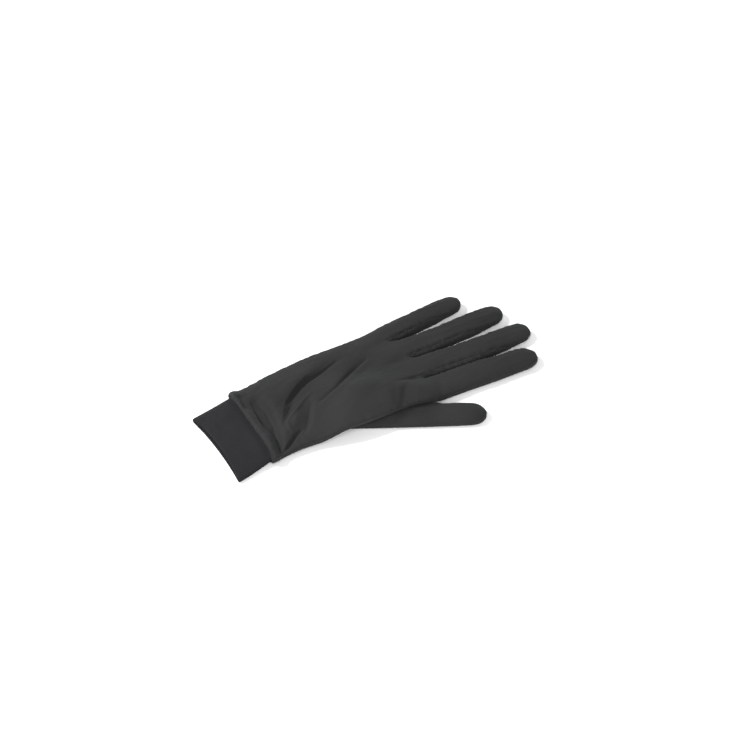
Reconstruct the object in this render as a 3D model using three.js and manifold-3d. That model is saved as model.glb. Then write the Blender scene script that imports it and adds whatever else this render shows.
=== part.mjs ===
// A knitted glove liner for the left hand, lying flat with its back up.
// Millimetres. +Z is up, +Y runs from the cuff to the fingertips, +X points to the thumb.
// The skin of the hand is one surface that is worked out first and then split along its seams into
// a back panel, a palm panel and three fourchettes, each given its own thickness. The thumb and the
// cuff are tubes of their own.
import * as THREE from "three";
import { mergeVertices } from "three/addons/utils/BufferGeometryUtils.js";
import Module from "manifold-3d";

const wasm = await Module();
wasm.setup();

// Driving sizes.

const CLOTH = 1.0; // wall of the single knitted cloth
const CUFF_WALL = 1.3; // wall of the rib cuff, which is folded double
const SEAM_GAP = 0.3; // clearance between two pieces along a seam
const HAND_LENGTH = 132.5; // from the roll over the cuff to the knuckle line
const BODY_HEIGHT = 12; // thickness of the hand as it lies
const FINGER_HEIGHT = 9.2; // thickness of a finger as it lies
const WEB_GAP = 1.2; // free width between two fingers where they part
const TAB_LENGTH = 8.5; // how far a fourchette's rounded end runs into the back of the hand
const WEB_LENGTH = 1.5; // how far the same end runs into the palm
const CUFF_LENGTH = 34;
const CUFF_WIDTH = 69;
const CUFF_HEIGHT = 8.3;
const MOUTH_SLANT = 2.4; // how much longer the cuff is on the little finger's side
const MOUTH_CURVE = 2; // how far the middle of the mouth draws back behind its two ends
const CUFF_EXPOSED = 27.5; // length of cuff that the roll leaves in sight
const ROLL_HEIGHT = 3.4; // how far the gathered cloth stands over the cuff
const ROLL_LENGTH = 9; // the roll's extent along the hand
const FINGER_FAN = 1; // multiplies every finger's turn away from the hand's axis

const THUMB_WIDTH = 20.8;
const THUMB_LENGTH = 98; // from the middle of the thumb hole to the tip
const THUMB_HEIGHT = 8;
const THUMB_ROOT_HEIGHT = 7; // the root lies pressed flatter, under the palm
const THUMB_TURN = 27; // degrees away from the hand's axis
const THUMB_HOLE_ALONG = 64.5; // from the roll to the middle of the thumb hole
const THUMB_HOLE_ACROSS = 22; // from the hand's middle line, towards the thumb's side
const THUMB_HOLE_LENGTH = 34; // along the thumb
const THUMB_HOLE_WIDTH = 21; // across the thumb

// Fingers, from the thumb's side. start: distance of the crotch line past the knuckle line, mm.
// turn: degrees towards the thumb. bow: sideways bend at mid length, mm.
const FINGERS = [
  { name: "index", width: 22, length: 81, start: 0, turn: 2.4, bow: -0.3 },
  { name: "middle", width: 20.8, length: 85.5, start: 5, turn: 0.4, bow: 0.3 },
  { name: "ring", width: 20.6, length: 79, start: 4, turn: -2.8, bow: 0.2 },
  { name: "little", width: 18, length: 65.5, start: -3.5, turn: -7, bow: -0.4 },
];

// Shape of every finger. at: share of its length. wide, high: shares of its width and thickness.
const FINGER_PROFILE = [
  { at: 0, wide: 1, high: 1.1 },
  { at: 0.25, wide: 0.97, high: 1.02 },
  { at: 0.5, wide: 0.98, high: 0.98 },
  { at: 0.75, wide: 0.96, high: 0.96 },
  { at: 1, wide: 0.9, high: 0.9 },
];

// Shape of the hand. at: share of the hand's length from the roll. half: share of half the knuckle
// width. drift: shift of the middle line towards the thumb, a share of the same half width.
// high: share of the body height. side: share of the thickness at which back and palm meet.
// round: exponent of the section's upper half, 2 is an ellipse.
const HAND_PROFILE = [
  { at: 0.068, half: 0.845, drift: -0.07, high: 0.93, side: 0.36, round: 2.1 },
  { at: 0.13, half: 0.845, drift: -0.09, high: 0.97, side: 0.38, round: 2.15 },
  { at: 0.21, half: 0.862, drift: -0.112, high: 1, side: 0.4, round: 2.2 },
  { at: 0.336, half: 0.92, drift: -0.107, high: 1.03, side: 0.42, round: 2.2 },
  { at: 0.51, half: 0.97, drift: -0.1, high: 1.03, side: 0.44, round: 2.3 },
  { at: 0.74, half: 0.972, drift: -0.1, high: 1, side: 0.44, round: 2.3 },
  { at: 0.89, half: 0.972, drift: -0.125, high: 0.95, side: 0.44, round: 2.3 },
  { at: 1, half: 1, drift: -0.155, high: 0.88, side: 0.44, round: 2.3 },
];

// The roll that the gathered cloth makes over the cuff. on: share of the roll's length, from the
// mouth's side. lift: share of the roll's height above the cuff.
const ROLL_PROFILE = [
  { on: 0.07, lift: 0.1 },
  { on: 0, lift: 0.38 },
  { on: 0.08, lift: 0.74 },
  { on: 0.34, lift: 1 },
  { on: 0.68, lift: 0.88 },
];

// The cuff. at: share of its length from the mouth. half: share of half its width. drift: shift
// towards the thumb, a share of half its width. floor, top: shares of its thickness. side: share of
// the thickness at which its sides lie. round: exponent of the section's upper half.
const CUFF_PROFILE = [
  { at: 0, half: 1, drift: 0.085, floor: 0, top: 0.98, side: 0.24, round: 1.95 },
  { at: 0.3, half: 1, drift: 0.03, floor: 0, top: 1.02, side: 0.28, round: 2 },
  { at: 0.6, half: 0.985, drift: -0.03, floor: 0.04, top: 1.09, side: 0.33, round: 2.1 },
  { at: 0.8, half: 0.975, drift: -0.055, floor: 0.17, top: 1.13, side: 0.37, round: 2.2 },
  { at: 1, half: 0.96, drift: -0.08, floor: 0.17, top: 1.16, side: 0.4, round: 2.3 },
];

// Folds of the gathered back. Each runs from one point over another to a third. across: share of
// half the knuckle width from the middle line, towards the thumb. along: share of the hand's length.
// depth: share of the body height. steep, gentle: widths of the two flanks, shares of the half
// width, the steep one on the little finger's side. crest: height of the ridge that follows the
// gentle flank, a share of the depth.
const FOLDS = [
  {
    name: "long gather",
    from: { across: 0.2, along: 0.17 },
    over: { across: -0.26, along: 0.36 },
    to: { across: -0.56, along: 0.6 },
    depth: 0.3, steep: 0.11, gentle: 0.22, crest: 0.2,
  },
  {
    name: "knuckle gather",
    from: { across: 0.13, along: 0.41 },
    over: { across: -0.12, along: 0.61 },
    to: { across: -0.46, along: 0.84 },
    depth: 0.18, steep: 0.13, gentle: 0.2, crest: 0.4,
  },
  {
    name: "thumb side gather",
    from: { across: 0.84, along: 0.07 },
    over: { across: 0.7, along: 0.14 },
    to: { across: 0.5, along: 0.25 },
    depth: 0.22, steep: 0.1, gentle: 0.14, crest: 0.3,
  },
  {
    name: "hollow behind the roll",
    from: { across: -0.5, along: 0.075 },
    over: { across: -0.1, along: 0.09 },
    to: { across: 0.45, along: 0.085 },
    depth: 0.14, steep: 0.12, gentle: 0.2, crest: 0.1,
  },
];

const TOP_ROUNDNESS = 2.3; // exponents of the rounded sections, 2 is an ellipse
const FLOOR_ROUNDNESS = 4;
const PRESSED_FLAT = 0.5; // how far a rounded underside would reach below the surface it lies on
const TOP_SEAM = 0.68; // a fourchette's seams: share of the height from a finger's side to its top
const FLOOR_SEAM = -0.8; // and, negative, from its side to its underside
const BACK_LIFT_SPREAD = 26; // widths over which the hand comes down beside the thumb's root
const PALM_LIFT_SPREAD = 10;
const LIFT_END = 12; // length over which that lift dies out before the knuckle line
const SIDE_HEIGHT = 0.44; // share of the thickness at which back and palm meet

const HAND_ROWS = 19;
const FINGER_ROWS = 8;
const TIP_ROWS = 4;
const WEB_STEPS = 4;
const STRIP_STEPS = 3; // across a fourchette
const BACK_COLUMNS = { index: 7, middle: 6, ring: 6, little: 6 };
const PALM_COLUMNS = { index: 4, middle: 3, ring: 3, little: 4 };
const TUBE_SIDES = { thumb: 20, cuff: 40 };

// What follows from the driving sizes.

const halfKnuckles = (FINGERS.reduce((sum, f) => sum + f.width, 0) + 3 * WEB_GAP) / 2;
const rollStart = CUFF_EXPOSED;
const knuckleLine = rollStart + HAND_LENGTH;

const smooth = (low, high, value) => THREE.MathUtils.smoothstep(value, low, high);
const mix = THREE.MathUtils.lerp;
const power = (value, exponent) => Math.sign(value) * Math.abs(value) ** exponent;

// The value of one column of a profile at a share, on a smooth curve through its rows.
function along(profile, column, share) {
  const rows = profile.length;
  let i = 0;
  while (i < rows - 2 && share > profile[i + 1].at) i++;
  const [a, b] = [profile[i], profile[i + 1]];
  const before = profile[Math.max(i - 1, 0)];
  const after = profile[Math.min(i + 2, rows - 1)];
  const span = b.at - a.at;
  const t = THREE.MathUtils.clamp((share - a.at) / span, 0, 1);
  const slopeA = ((b[column] - before[column]) / (b.at - before.at)) * span;
  const slopeB = ((after[column] - a[column]) / (after.at - a.at)) * span;
  const t2 = t * t;
  const t3 = t2 * t;
  return (
    (2 * t3 - 3 * t2 + 1) * a[column] + (t3 - 2 * t2 + t) * slopeA +
    (3 * t2 - 2 * t3) * b[column] + (t3 - t2) * slopeB
  );
}

// The cuff's section at a distance from the mouth: middle and half width, floor and top.
function cuffSection(y) {
  const share = y / CUFF_LENGTH;
  const half = CUFF_WIDTH / 2;
  return {
    middle: half * along(CUFF_PROFILE, "drift", share),
    half: half * along(CUFF_PROFILE, "half", share),
    floor: Math.max(0, CUFF_HEIGHT * along(CUFF_PROFILE, "floor", share)),
    top: CUFF_HEIGHT * along(CUFF_PROFILE, "top", share),
    side: along(CUFF_PROFILE, "side", share),
    round: along(CUFF_PROFILE, "round", share),
  };
}

// The thumb's own axes in plan: D points to its tip, W across it, away from the fingers.
const thumbAngle = THREE.MathUtils.degToRad(THUMB_TURN);
const D = new THREE.Vector2(Math.sin(thumbAngle), Math.cos(thumbAngle));
const W = new THREE.Vector2(Math.cos(thumbAngle), -Math.sin(thumbAngle));
const handMiddle = (share) => halfKnuckles * along(HAND_PROFILE, "drift", share);
const holeMiddle = new THREE.Vector2(
  handMiddle(THUMB_HOLE_ALONG / HAND_LENGTH) + THUMB_HOLE_ACROSS,
  rollStart + THUMB_HOLE_ALONG,
);

// How far the hand is lifted off the surface by the thumb's root, which lies under it. spread: the
// width over which the lift dies out towards the fingers' side.
function thumbLift(x, y, spread) {
  const point = new THREE.Vector2(x, y).sub(holeMiddle);
  const [d, w] = [point.dot(D), point.dot(W)];
  const rootHalf = THUMB_WIDTH / 2 + 3 * SEAM_GAP;
  const across = smooth(-rootHalf - 2 - spread, -rootHalf - 2, w);
  const ahead = smooth(-THUMB_HOLE_LENGTH * 0.62, THUMB_HOLE_LENGTH * 0.16, d);
  const knuckleFade = 1 - smooth(knuckleLine - LIFT_END, knuckleLine - 0.1 * LIFT_END, y);
  return (THUMB_ROOT_HEIGHT + 2 * SEAM_GAP) * across * ahead * knuckleFade;
}

// A fold's line in plan, a curve from its first point over its second to its third.
function foldLine(fold, middleLine) {
  const [from, over, to] = [fold.from, fold.over, fold.to].map(
    (at) => new THREE.Vector2(middleLine + at.across * halfKnuckles, rollStart + at.along * HAND_LENGTH),
  );
  const pull = over.clone().multiplyScalar(2).addScaledVector(from, -0.5).addScaledVector(to, -0.5);
  return new THREE.QuadraticBezierCurve(from, pull, to);
}

// Depth of the folds at a point of the back, negative downwards.
function foldHeight(x, y) {
  let height = 0;
  const middleLine = handMiddle((y - rollStart) / HAND_LENGTH);
  const here = new THREE.Vector2(x, y);
  for (const fold of FOLDS) {
    const line = foldLine(fold, middleLine);
    const steps = 24;
    let [nearest, share, side] = [Infinity, 0, 1];
    for (let i = 0; i <= steps; i++) {
      const at = line.getPoint(i / steps);
      const distance = at.distanceTo(here);
      if (distance < nearest) {
        const tangent = line.getTangent(i / steps);
        [nearest, share] = [distance, i / steps];
        side = Math.sign(tangent.y * (x - at.x) - tangent.x * (y - at.y)) || 1;
      }
    }
    const flank = (side > 0 ? fold.gentle : fold.steep) * halfKnuckles;
    const taper = Math.sin(Math.PI * THREE.MathUtils.clamp(0.08 + 0.84 * share, 0, 1));
    const valley = Math.exp(-((nearest / flank) ** 2));
    const crest = side > 0 ? fold.crest * Math.exp(-(((nearest - 2.1 * flank) / flank) ** 2)) : 0;
    height += fold.depth * BODY_HEIGHT * taper * (crest - valley);
  }
  return height;
}

// The hand's section at a row: outline, heights and whether the row is on the roll.
function handSection(y) {
  const share = (y - rollStart) / HAND_LENGTH;
  return {
    y,
    middle: handMiddle(share),
    half: halfKnuckles * along(HAND_PROFILE, "half", share),
    top: BODY_HEIGHT * along(HAND_PROFILE, "high", share),
    floor: 0,
    side: along(HAND_PROFILE, "side", share),
    round: along(HAND_PROFILE, "round", share),
  };
}

function rollSection({ on, lift }) {
  const y = rollStart + on * ROLL_LENGTH;
  const cuff = cuffSection(y);
  const rise = SEAM_GAP + lift * ROLL_HEIGHT;
  return {
    y,
    middle: cuff.middle,
    half: cuff.half + rise,
    top: cuff.top + rise,
    floor: Math.max(0, cuff.floor - rise),
    side: cuff.side,
    round: cuff.round + 0.25,
  };
}

const backLift = (x, y) => 0.8 * thumbLift(x, y, BACK_LIFT_SPREAD);
const palmLift = (x, y) => thumbLift(x, y, PALM_LIFT_SPREAD);
const sideHeight = (section, x) =>
  mix(section.floor, section.top, section.side) + backLift(x, section.y);

// Points of the hand's section. share runs across it from 0, on the thumb's side, to 1.
function backPoint(section, share) {
  const out = 1 - 2 * share;
  const x = section.middle + section.half * out;
  const side = sideHeight(section, x);
  const dome = (1 - Math.abs(out) ** section.round) ** (1 / section.round);
  const flat = smooth(0, 0.5, dome);
  const top = section.top + backLift(x, section.y);
  return new THREE.Vector3(x, section.y, mix(side, top, dome) + flat * foldHeight(x, section.y));
}

function palmPoint(section, share) {
  const out = 1 - 2 * share;
  const x = section.middle + section.half * out;
  const side = sideHeight(section, x);
  const floor = Math.max(section.floor, palmLift(x, section.y));
  const bowl = (1 - Math.abs(out) ** FLOOR_ROUNDNESS) ** (1 / FLOOR_ROUNDNESS);
  return new THREE.Vector3(x, section.y, Math.max(floor, mix(side, floor - PRESSED_FLAT, bowl)));
}

// The angle round a rounded section, from its side upwards, at a share of the height above the side
// or, negative, below it.
function angleAt(height) {
  const roundness = height >= 0 ? TOP_ROUNDNESS : FLOOR_ROUNDNESS;
  return Math.sign(height) * Math.asin(Math.abs(height) ** (roundness / 2));
}

// Fingers: where each starts, and a point on its skin. angle is 0 on the side towards the thumb,
// a right angle on top and negative underneath.
const fingers = [];
{
  let edge = handMiddle(1) + halfKnuckles;
  for (const finger of FINGERS) {
    const turn = THREE.MathUtils.degToRad(finger.turn * FINGER_FAN);
    fingers.push({
      ...finger,
      base: new THREE.Vector2(edge - finger.width / 2, knuckleLine + finger.start),
      ahead: new THREE.Vector2(Math.sin(turn), Math.cos(turn)),
      aside: new THREE.Vector2(Math.cos(turn), -Math.sin(turn)),
      tip: finger.width * 0.52,
    });
    edge -= finger.width + WEB_GAP;
  }
}

// Distances along a finger at which its rows lie, closer together round the tip.
function fingerStations(finger) {
  const straight = finger.length - finger.tip;
  const stations = [];
  for (let i = 0; i <= FINGER_ROWS; i++) stations.push((straight * i) / FINGER_ROWS);
  for (let i = 1; i <= TIP_ROWS; i++)
    stations.push(straight + finger.tip * Math.sin(((Math.PI / 2) * i) / TIP_ROWS));
  return stations;
}

function fingerPoint(finger, station, angle) {
  const share = station / finger.length;
  const intoTip = THREE.MathUtils.clamp((station - finger.length + finger.tip) / finger.tip, 0, 1);
  const rounding = Math.sqrt(1 - intoTip ** 2);
  const half = (finger.width / 2) * along(FINGER_PROFILE, "wide", share) * rounding;
  const high = FINGER_HEIGHT * along(FINGER_PROFILE, "high", share);
  const side = SIDE_HEIGHT * high;
  const top = mix(side, high, rounding ** 0.8);
  const floor = mix(side, -PRESSED_FLAT, rounding ** 0.5);
  const over = Math.sin(angle) >= 0;
  const roundness = over ? TOP_ROUNDNESS : FLOOR_ROUNDNESS;
  const out = half * power(Math.cos(angle), 2 / roundness);
  const up = Math.abs(Math.sin(angle)) ** (2 / roundness);
  const bow = finger.bow * Math.sin(Math.PI * share);
  const plan = finger.base.clone()
    .addScaledVector(finger.ahead, station)
    .addScaledVector(finger.aside, out + bow);
  return new THREE.Vector3(plan.x, plan.y, Math.max(0, mix(side, over ? top : floor, up)));
}

// The angle of a fourchette's line at a height. Its two seams draw together from the share
// FOURCHETTE_CLOSING of the finger's straight length and meet on the side seam where the tip begins.
const FOURCHETTE_CLOSING = 0.62;

function seamAngle(finger, station, height) {
  const straight = finger.length - finger.tip;
  const width = 1 - smooth(FOURCHETTE_CLOSING * straight, straight, station);
  return angleAt(height * width);
}

// Points of the whole skin, each kept once, so that neighbouring pieces share their seams.
const skin = { points: [], index: new Map(), pieces: new Map() };

function vertex(point) {
  const key = [point.x, point.y, point.z].map((v) => Math.round(v * 1e4)).join();
  if (!skin.index.has(key)) {
    skin.index.set(key, skin.points.length);
    skin.points.push(point.clone());
  }
  return skin.index.get(key);
}

// Adds a grid of points to a piece. Rows run away from the wearer's wrist, columns from the thumb's
// side on the back; flipped grids face the other way.
function addGrid(name, grid, flipped = false) {
  if (!skin.pieces.has(name)) skin.pieces.set(name, []);
  const faces = skin.pieces.get(name);
  const at = grid.map((row) => row.map(vertex));
  for (let r = 0; r + 1 < at.length; r++)
    for (let c = 0; c + 1 < at[r].length; c++) {
      const corners = [at[r][c], at[r + 1][c], at[r + 1][c + 1], at[r][c + 1]];
      if (flipped) [corners[1], corners[3]] = [corners[3], corners[1]];
      for (const [i, j, k] of [[0, 1, 2], [0, 2, 3]]) {
        const face = [corners[i], corners[j], corners[k]];
        if (new Set(face).size === 3) faces.push(face);
      }
    }
}

// The web between two fingers, a U that hangs down between them. share crosses it from the first
// finger to the second, strip crosses the fourchette from its top seam to its floor seam.
function webPoint(first, second, share, strip) {
  const angle = angleAt(mix(TOP_SEAM, FLOOR_SEAM, strip));
  const a = fingerPoint(first, 0, Math.PI - angle);
  const b = fingerPoint(second, 0, angle);
  const hang = Math.sin(Math.PI * share) ** 0.75;
  const point = a.lerp(b, share);
  point.y -= hang * mix(WEB_LENGTH, TAB_LENGTH, (1 - strip) ** 2);
  point.z += hang * BODY_HEIGHT * 0.05 * (1 - strip) ** 2;
  return point;
}

// The angles of one finger's columns on the back or on the palm. A seam with a neighbour lies short
// of the side, and a finger at the edge of the hand goes right round to its side.
function columnAngles(i, station, underneath) {
  const finger = fingers[i];
  const seam = Math.abs(seamAngle(finger, station, underneath ? FLOOR_SEAM : TOP_SEAM));
  const first = i > 0 ? seam : 0;
  const last = i < fingers.length - 1 ? seam : 0;
  const columns = (underneath ? PALM_COLUMNS : BACK_COLUMNS)[finger.name];
  return Array.from({ length: columns + 1 }, (_, c) => {
    const angle = mix(first, Math.PI - last, c / columns);
    return underneath ? -angle : angle;
  });
}

// The last row of the hand, at the knuckles: each finger's own section and the webs between them.
function knuckleRow(underneath) {
  const row = [];
  fingers.forEach((finger, i) => {
    for (const angle of columnAngles(i, 0, underneath)) row.push(fingerPoint(finger, 0, angle));
    if (i + 1 < fingers.length)
      for (let step = 1; step < WEB_STEPS; step++)
        row.push(webPoint(finger, fingers[i + 1], step / WEB_STEPS, underneath ? 1 : 0));
  });
  return row;
}

// The hand's rows, from the roll over the cuff up to the knuckles.
function handGrid(underneath) {
  const last = knuckleRow(underneath);
  const [edge, width] = [last[0].x, last[0].x - last[last.length - 1].x];
  const pointOf = underneath ? palmPoint : backPoint;
  const liftOf = (x, y) => (underneath ? Math.min(palmLift(x, y), backLift(x, y)) : backLift(x, y));
  const rows = ROLL_PROFILE.map((row) => rollSection(row));
  const firstShare = HAND_PROFILE[0].at;
  for (let r = 0; r < HAND_ROWS; r++)
    rows.push(handSection(rollStart + HAND_LENGTH * mix(firstShare, 1, r / HAND_ROWS)));
  const grid = rows.map((section) =>
    last.map((end) => {
      const share = (section.y - rollStart) / HAND_LENGTH;
      const point = pointOf(section, THREE.MathUtils.clamp((edge - end.x) / width, 0, 1));
      const lift = liftOf(point.x, point.y);
      point.z = lift + mix(point.z - lift, end.z, smooth(0.76, 1, share));
      point.y += (end.y - knuckleLine) * smooth(0.72, 1, share);
      return point;
    }),
  );
  grid.push(last);
  return grid;
}

function fingerGrid(i, underneath) {
  return fingerStations(fingers[i]).map((station) =>
    columnAngles(i, station, underneath).map((angle) => fingerPoint(fingers[i], station, angle)),
  );
}

// A fourchette runs down one finger's side, across the web and up the next finger's side.
function fourchetteGrid(i) {
  const [first, second] = [fingers[i], fingers[i + 1]];
  const strips = Array.from({ length: STRIP_STEPS + 1 }, (_, k) => k / STRIP_STEPS);
  const sideRow = (finger, station, side) =>
    strips.map((strip) => {
      const angle = seamAngle(finger, station, mix(TOP_SEAM, FLOOR_SEAM, strip));
      return fingerPoint(finger, station, side > 0 ? angle : Math.PI - angle);
    });
  const reaches = (finger) => (station) =>
    seamAngle(finger, station, TOP_SEAM) > 0 || station < finger.length - finger.tip;
  const endOf = (finger) => {
    const stations = fingerStations(finger);
    const kept = stations.filter(reaches(finger));
    return stations.slice(0, kept.length + 1);
  };
  const rows = endOf(first).reverse().map((station) => sideRow(first, station, -1));
  for (let step = 1; step < WEB_STEPS; step++)
    rows.push(strips.map((strip) => webPoint(first, second, step / WEB_STEPS, strip)));
  for (const station of endOf(second)) rows.push(sideRow(second, station, 1));
  return rows;
}

addGrid("back_panel", handGrid(false));
addGrid("palm_panel", handGrid(true), true);
fingers.forEach((finger, i) => {
  addGrid("back_panel", fingerGrid(i, false));
  addGrid("palm_panel", fingerGrid(i, true), true);
  if (i + 1 < fingers.length)
    addGrid(`fourchette_${finger.name}_${fingers[i + 1].name}`, fourchetteGrid(i), true);
});

// From each point of the skin the way to the cloth's inner side, for a thickness of 1. It is chosen so
// that every face round the point gets its thickness square to itself, and both sides of a seam
// share it. Faces count by their angle at the point.
const LONGEST_INWARD = 2.5;

function inwardOffsets() {
  const sums = skin.points.map(() => ({
    squares: new THREE.Matrix3().multiplyScalar(0),
    normal: new THREE.Vector3(),
    weight: 0,
  }));
  for (const faces of skin.pieces.values())
    for (const face of faces) {
      const corners = face.map((v) => skin.points[v]);
      const [a, b, c] = corners;
      const n = b.clone().sub(a).cross(c.clone().sub(a)).normalize();
      face.forEach((v, i) => {
        const toNext = corners[(i + 1) % 3].clone().sub(corners[i]);
        const toLast = corners[(i + 2) % 3].clone().sub(corners[i]);
        const weight = toNext.angleTo(toLast);
        const m = sums[v].squares.elements;
        [n.x, n.y, n.z].forEach((p, row) =>
          [n.x, n.y, n.z].forEach((q, column) => (m[column * 3 + row] += weight * p * q)),
        );
        sums[v].normal.addScaledVector(n, weight);
        sums[v].weight += weight;
      });
    }
  return sums.map(({ squares, normal, weight }) => {
    const hold = 0.04 * weight;
    for (const diagonal of [0, 4, 8]) squares.elements[diagonal] += hold;
    const target = normal.clone().addScaledVector(normal.clone().normalize(), hold);
    return target.applyMatrix3(squares.invert()).clampLength(1, LONGEST_INWARD).negate();
  });
}

const offsets = inwardOffsets();

// A piece of the skin as a solid: its edge drawn back by half the seam gap, and the cloth's
// thickness laid on the inside.
function clothGeometry(faces) {
  const edges = new Map();
  for (const [a, b, c] of faces)
    for (const [from, to] of [[a, b], [b, c], [c, a]])
      if (!edges.delete(`${to},${from}`)) edges.set(`${from},${to}`, { from, to, face: [a, b, c] });
  const back = new Map();
  for (const { from, to, face } of edges.values()) {
    const [a, b, c] = face.map((v) => skin.points[v]);
    const up = b.clone().sub(a).cross(c.clone().sub(a)).normalize();
    const away = up.cross(skin.points[to].clone().sub(skin.points[from]).normalize());
    for (const v of [from, to]) back.set(v, [...(back.get(v) ?? []), away]);
  }
  const used = [...new Set(faces.flat())];
  const order = new Map(used.map((v, i) => [v, i]));
  const outer = used.map((v) => {
    const point = skin.points[v].clone();
    const [one, other] = back.get(v) ?? [];
    if (one) {
      const miter = one.clone().add(other).divideScalar(Math.max(0.5, 1 + one.dot(other)));
      point.addScaledVector(miter, SEAM_GAP / 2);
    }
    return point.setZ(Math.max(0, point.z));
  });
  const inner = used.map((v, i) => {
    const point = outer[i].clone().addScaledVector(offsets[v], CLOTH);
    return point.setZ(Math.max(0, point.z));
  });
  const count = used.length;
  const index = [];
  for (const face of faces) {
    const [a, b, c] = face.map((v) => order.get(v));
    index.push(a, b, c, a + count, c + count, b + count);
  }
  for (const { from, to } of edges.values()) {
    const [a, b] = [order.get(from), order.get(to)];
    index.push(b, a, a + count, b, a + count, b + count);
  }
  return new THREE.BufferGeometry().setFromPoints([...outer, ...inner]).setIndex(index);
}

// A tube of cloth from rings of points, closed at the far end or open at both. Each ring runs round
// with the same number of points; the inner rings follow the outer ones inside.
function tubeGeometry(outer, inner, tips) {
  const sides = outer[0].length;
  const points = [...outer.flat(), ...inner.flat()];
  const start = outer.length * sides;
  const index = [];
  const quad = (a, b, c, d) => index.push(a, b, c, a, c, d);
  const walls = [[0, outer.length, false], [start, inner.length, true]];
  for (const [first, rings, isInner] of walls)
    for (let r = 0; r + 1 < rings; r++)
      for (let s = 0; s < sides; s++) {
        const [a, b] = [first + r * sides + s, first + r * sides + ((s + 1) % sides)];
        if (isInner) quad(a, a + sides, b + sides, b);
        else quad(a, b, b + sides, a + sides);
      }
  for (let s = 0; s < sides; s++) {
    const next = (s + 1) % sides;
    quad(s, start + s, start + next, next);
    const [lastOuter, lastInner] = [start - sides, start + (inner.length - 1) * sides];
    if (!tips) quad(lastOuter + s, lastOuter + next, lastInner + next, lastInner + s);
    else {
      index.push(lastOuter + s, lastOuter + next, points.length);
      index.push(lastInner + next, lastInner + s, points.length + 1);
    }
  }
  if (tips) points.push(...tips);
  return new THREE.BufferGeometry().setFromPoints(points).setIndex(index);
}

// The cuff: rings from the mouth's rounded lip to the end that the roll hides.

function cuffRing(y, inset) {
  const { middle, half, floor, top, side: sideShare, round } = cuffSection(y);
  const side = mix(floor, top, sideShare);
  const nearMouth = 1 - smooth(0, 0.55, y / CUFF_LENGTH);
  const [slant, curve] = [MOUTH_SLANT * nearMouth, MOUTH_CURVE * nearMouth];
  return Array.from({ length: TUBE_SIDES.cuff }, (_, s) => {
    const angle = (-2 * Math.PI * s) / TUBE_SIDES.cuff;
    const over = Math.sin(angle) >= 0;
    const roundness = over ? round : FLOOR_ROUNDNESS;
    const out = (half - inset) * power(Math.cos(angle), 2 / roundness);
    const reach = over ? top - inset - side : side - floor + PRESSED_FLAT - inset;
    const up = reach * power(Math.sin(angle), 2 / roundness);
    const across = out / half;
    const mouth = slant * (across / 2 - 0.35) + curve * (1 - across ** 2);
    return new THREE.Vector3(middle + out, y + mouth, Math.max(floor + inset, side + up));
  });
}

function cuffGeometry() {
  const stations = [0, 0.12, 0.3, 0.5, 0.7, 0.86, 1].map((share) => share * CUFF_LENGTH);
  const lip = CUFF_WALL * 0.3;
  const outer = stations.map((y) => cuffRing(y, 0));
  outer[0] = cuffRing(0, lip);
  outer.splice(1, 0, cuffRing(lip, 0));
  const inner = stations.map((y) => cuffRing(y, CUFF_WALL));
  inner[0] = cuffRing(0, CUFF_WALL - lip);
  inner.splice(1, 0, cuffRing(lip, CUFF_WALL));
  return tubeGeometry(outer, inner);
}

// The thumb's rings turn from lying in the palm's hole to standing across the thumb. low, high:
// where a ring's lower and upper end lie along the thumb, shares of half the hole's length. wide:
// share of the thumb's width. rise: share of the root's thickness.
const THUMB_ROOT = [
  { low: -0.72, high: 1.02, wide: 0.99, rise: 0.9 },
  { low: -0.2, high: 1.14, wide: 1.02, rise: 0.96 },
  { low: 0.5, high: 1.28, wide: 1.03, rise: 0.98 },
  { low: 1.3, high: 1.5, wide: 1.03, rise: 1 },
];

// The free thumb. at: share of the length from the root to the tip. wide, high: shares of its size.
const THUMB_PROFILE = [
  { at: 0, wide: 1.03, high: 0.84 },
  { at: 0.3, wide: 1.01, high: 0.84 },
  { at: 0.5, wide: 0.99, high: 0.85 },
  { at: 0.75, wide: 0.96, high: 1 },
  { at: 1, wide: 0.88, high: 0.9 },
];

const thumbPlace = (d, w) => holeMiddle.clone().addScaledVector(D, d).addScaledVector(W, w);

// A ring of the thumb through a low and a high point on its axis.
function thumbRing(low, high, half, inset) {
  return Array.from({ length: TUBE_SIDES.thumb }, (_, s) => {
    const angle = (-2 * Math.PI * s) / TUBE_SIDES.thumb;
    const over = Math.sin(angle) >= 0;
    const roundness = over ? TOP_ROUNDNESS : FLOOR_ROUNDNESS;
    const out = (half - inset) * power(Math.cos(angle), 2 / roundness);
    const up = power(Math.sin(angle), 2 / roundness);
    const share = over ? mix(SIDE_HEIGHT, 1, up) : SIDE_HEIGHT * (1 + up * 1.12);
    const plan = thumbPlace(mix(low.d, high.d, Math.max(0, share)), out);
    return new THREE.Vector3(plan.x, plan.y, Math.max(low.z, mix(low.z, high.z, share)));
  });
}

function holeRing(inset, above) {
  return Array.from({ length: TUBE_SIDES.thumb }, (_, s) => {
    const angle = (-2 * Math.PI * s) / TUBE_SIDES.thumb;
    const d = (THUMB_HOLE_LENGTH / 2 - SEAM_GAP - inset) * Math.sin(angle);
    const w = (THUMB_HOLE_WIDTH / 2 - SEAM_GAP - inset) * Math.cos(angle);
    const plan = thumbPlace(d, w);
    return new THREE.Vector3(plan.x, plan.y, Math.max(inset, palmLift(plan.x, plan.y) + above));
  });
}

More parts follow.
